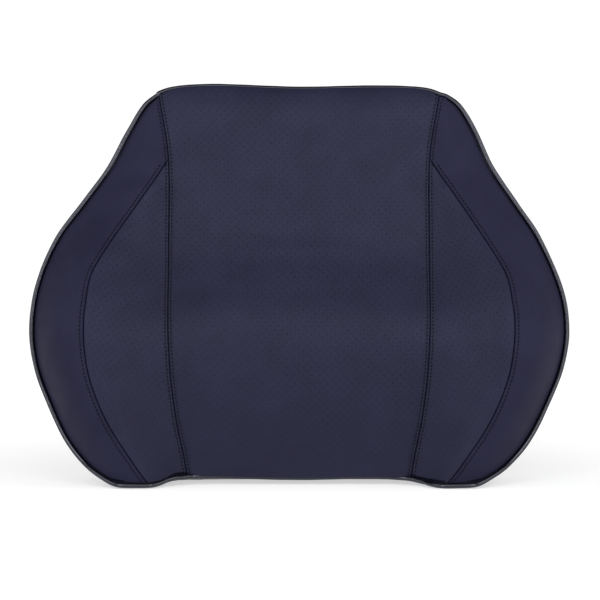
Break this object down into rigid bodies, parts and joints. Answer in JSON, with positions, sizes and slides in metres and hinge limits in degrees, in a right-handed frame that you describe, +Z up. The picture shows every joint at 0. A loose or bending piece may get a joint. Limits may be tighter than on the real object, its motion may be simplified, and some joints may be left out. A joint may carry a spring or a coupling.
{
  "type": "lumbar support cushion",
  "caption": "Contoured lumbar cushion with a perforated centre, side bolsters, piped edge, zipped back and buckled strap.",
  "frame": {"origin": "centre of the bounding box in X and Y, on the floor that the cushion stands on", "axes": "+Z up, the padded front faces -Y, +X to the right seen from the front"},
  "size_m": [0.4418, 0.1025, 0.3293],
  "materials": {
    "smooth_leather": "satin",
    "perforated_leather": "satin",
    "piping_leather": "gloss",
    "boxing_leather": "satin",
    "back_fabric": "matte",
    "zip_tape_cloth": "matte",
    "zip_coil_nylon": "satin",
    "zip_metal": "satin",
    "liner_cloth": "matte",
    "memory_foam": "matte",
    "strap_webbing": "matte",
    "buckle_plastic": "satin"
  },
  "bodies": {
    "cushion": {"centre_panel": "perforated_leather", "inner_panel_left": "perforated_leather", "inner_panel_right": "perforated_leather", "wing_panel_left": "smooth_leather", "wing_panel_right": "smooth_leather", "edge_piping": "piping_leather", "gusset_top": "boxing_leather", "gusset_left": "boxing_leather", "gusset_right": "boxing_leather", "gusset_bottom": "boxing_leather", "back_panel_upper": "back_fabric", "back_panel_lower": "back_fabric", "zip_tape_upper": "zip_tape_cloth", "zip_tape_lower": "zip_tape_cloth", "zip_coil_upper": "zip_coil_nylon", "zip_coil_lower": "zip_coil_nylon", "zip_stop_left": "zip_metal", "zip_stop_right": "zip_metal", "inner_liner": "liner_cloth", "foam_core": "memory_foam", "strap_anchor_left": "smooth_leather", "strap_anchor_right": "smooth_leather", "strap_left": "strap_webbing", "strap_right": "strap_webbing", "buckle_socket": "buckle_plastic", "buckle_plug": "buckle_plastic"},
    "zip_slider": {"zip_slider": "zip_metal"},
    "zip_pull": {"zip_pull": "zip_metal"},
    "arm_upper": {"buckle_arm_upper": "buckle_plastic"},
    "arm_lower": {"buckle_arm_lower": "buckle_plastic"},
    "keeper": {"strap_keeper": "strap_webbing"}
  },
  "joints": [
    {"name": "zip_slide", "type": "slide", "parent": "cushion", "child": "zip_slider", "axis": [-1, 0, 0], "range_m": [0, 0.29], "deforming": ["zip_coil_upper", "zip_coil_lower"]},
    {"name": "zip_pull_swing", "type": "hinge", "parent": "zip_slider", "child": "zip_pull", "pos_m": [0.15, 0.0424, 0.048], "axis": [0, 0, -1], "range_deg": [0, 170]},
    {"name": "buckle_arm_upper_squeeze", "type": "hinge", "parent": "cushion", "child": "arm_upper", "pos_m": [0.013, 0.0467, 0.201], "axis": [0, -1, 0], "range_deg": [0, 10.5], "stiffness_Nm_per_rad": 0.2},
    {"name": "buckle_arm_lower_squeeze", "type": "hinge", "parent": "cushion", "child": "arm_lower", "pos_m": [0.013, 0.0467, 0.179], "axis": [0, 1, 0], "range_deg": [0, 10.5], "stiffness_Nm_per_rad": 0.2},
    {"name": "keeper_slide", "type": "slide", "parent": "cushion", "child": "keeper", "axis": [1, 0, 0], "range_m": [-0.035, 0.016]}
  ]
}
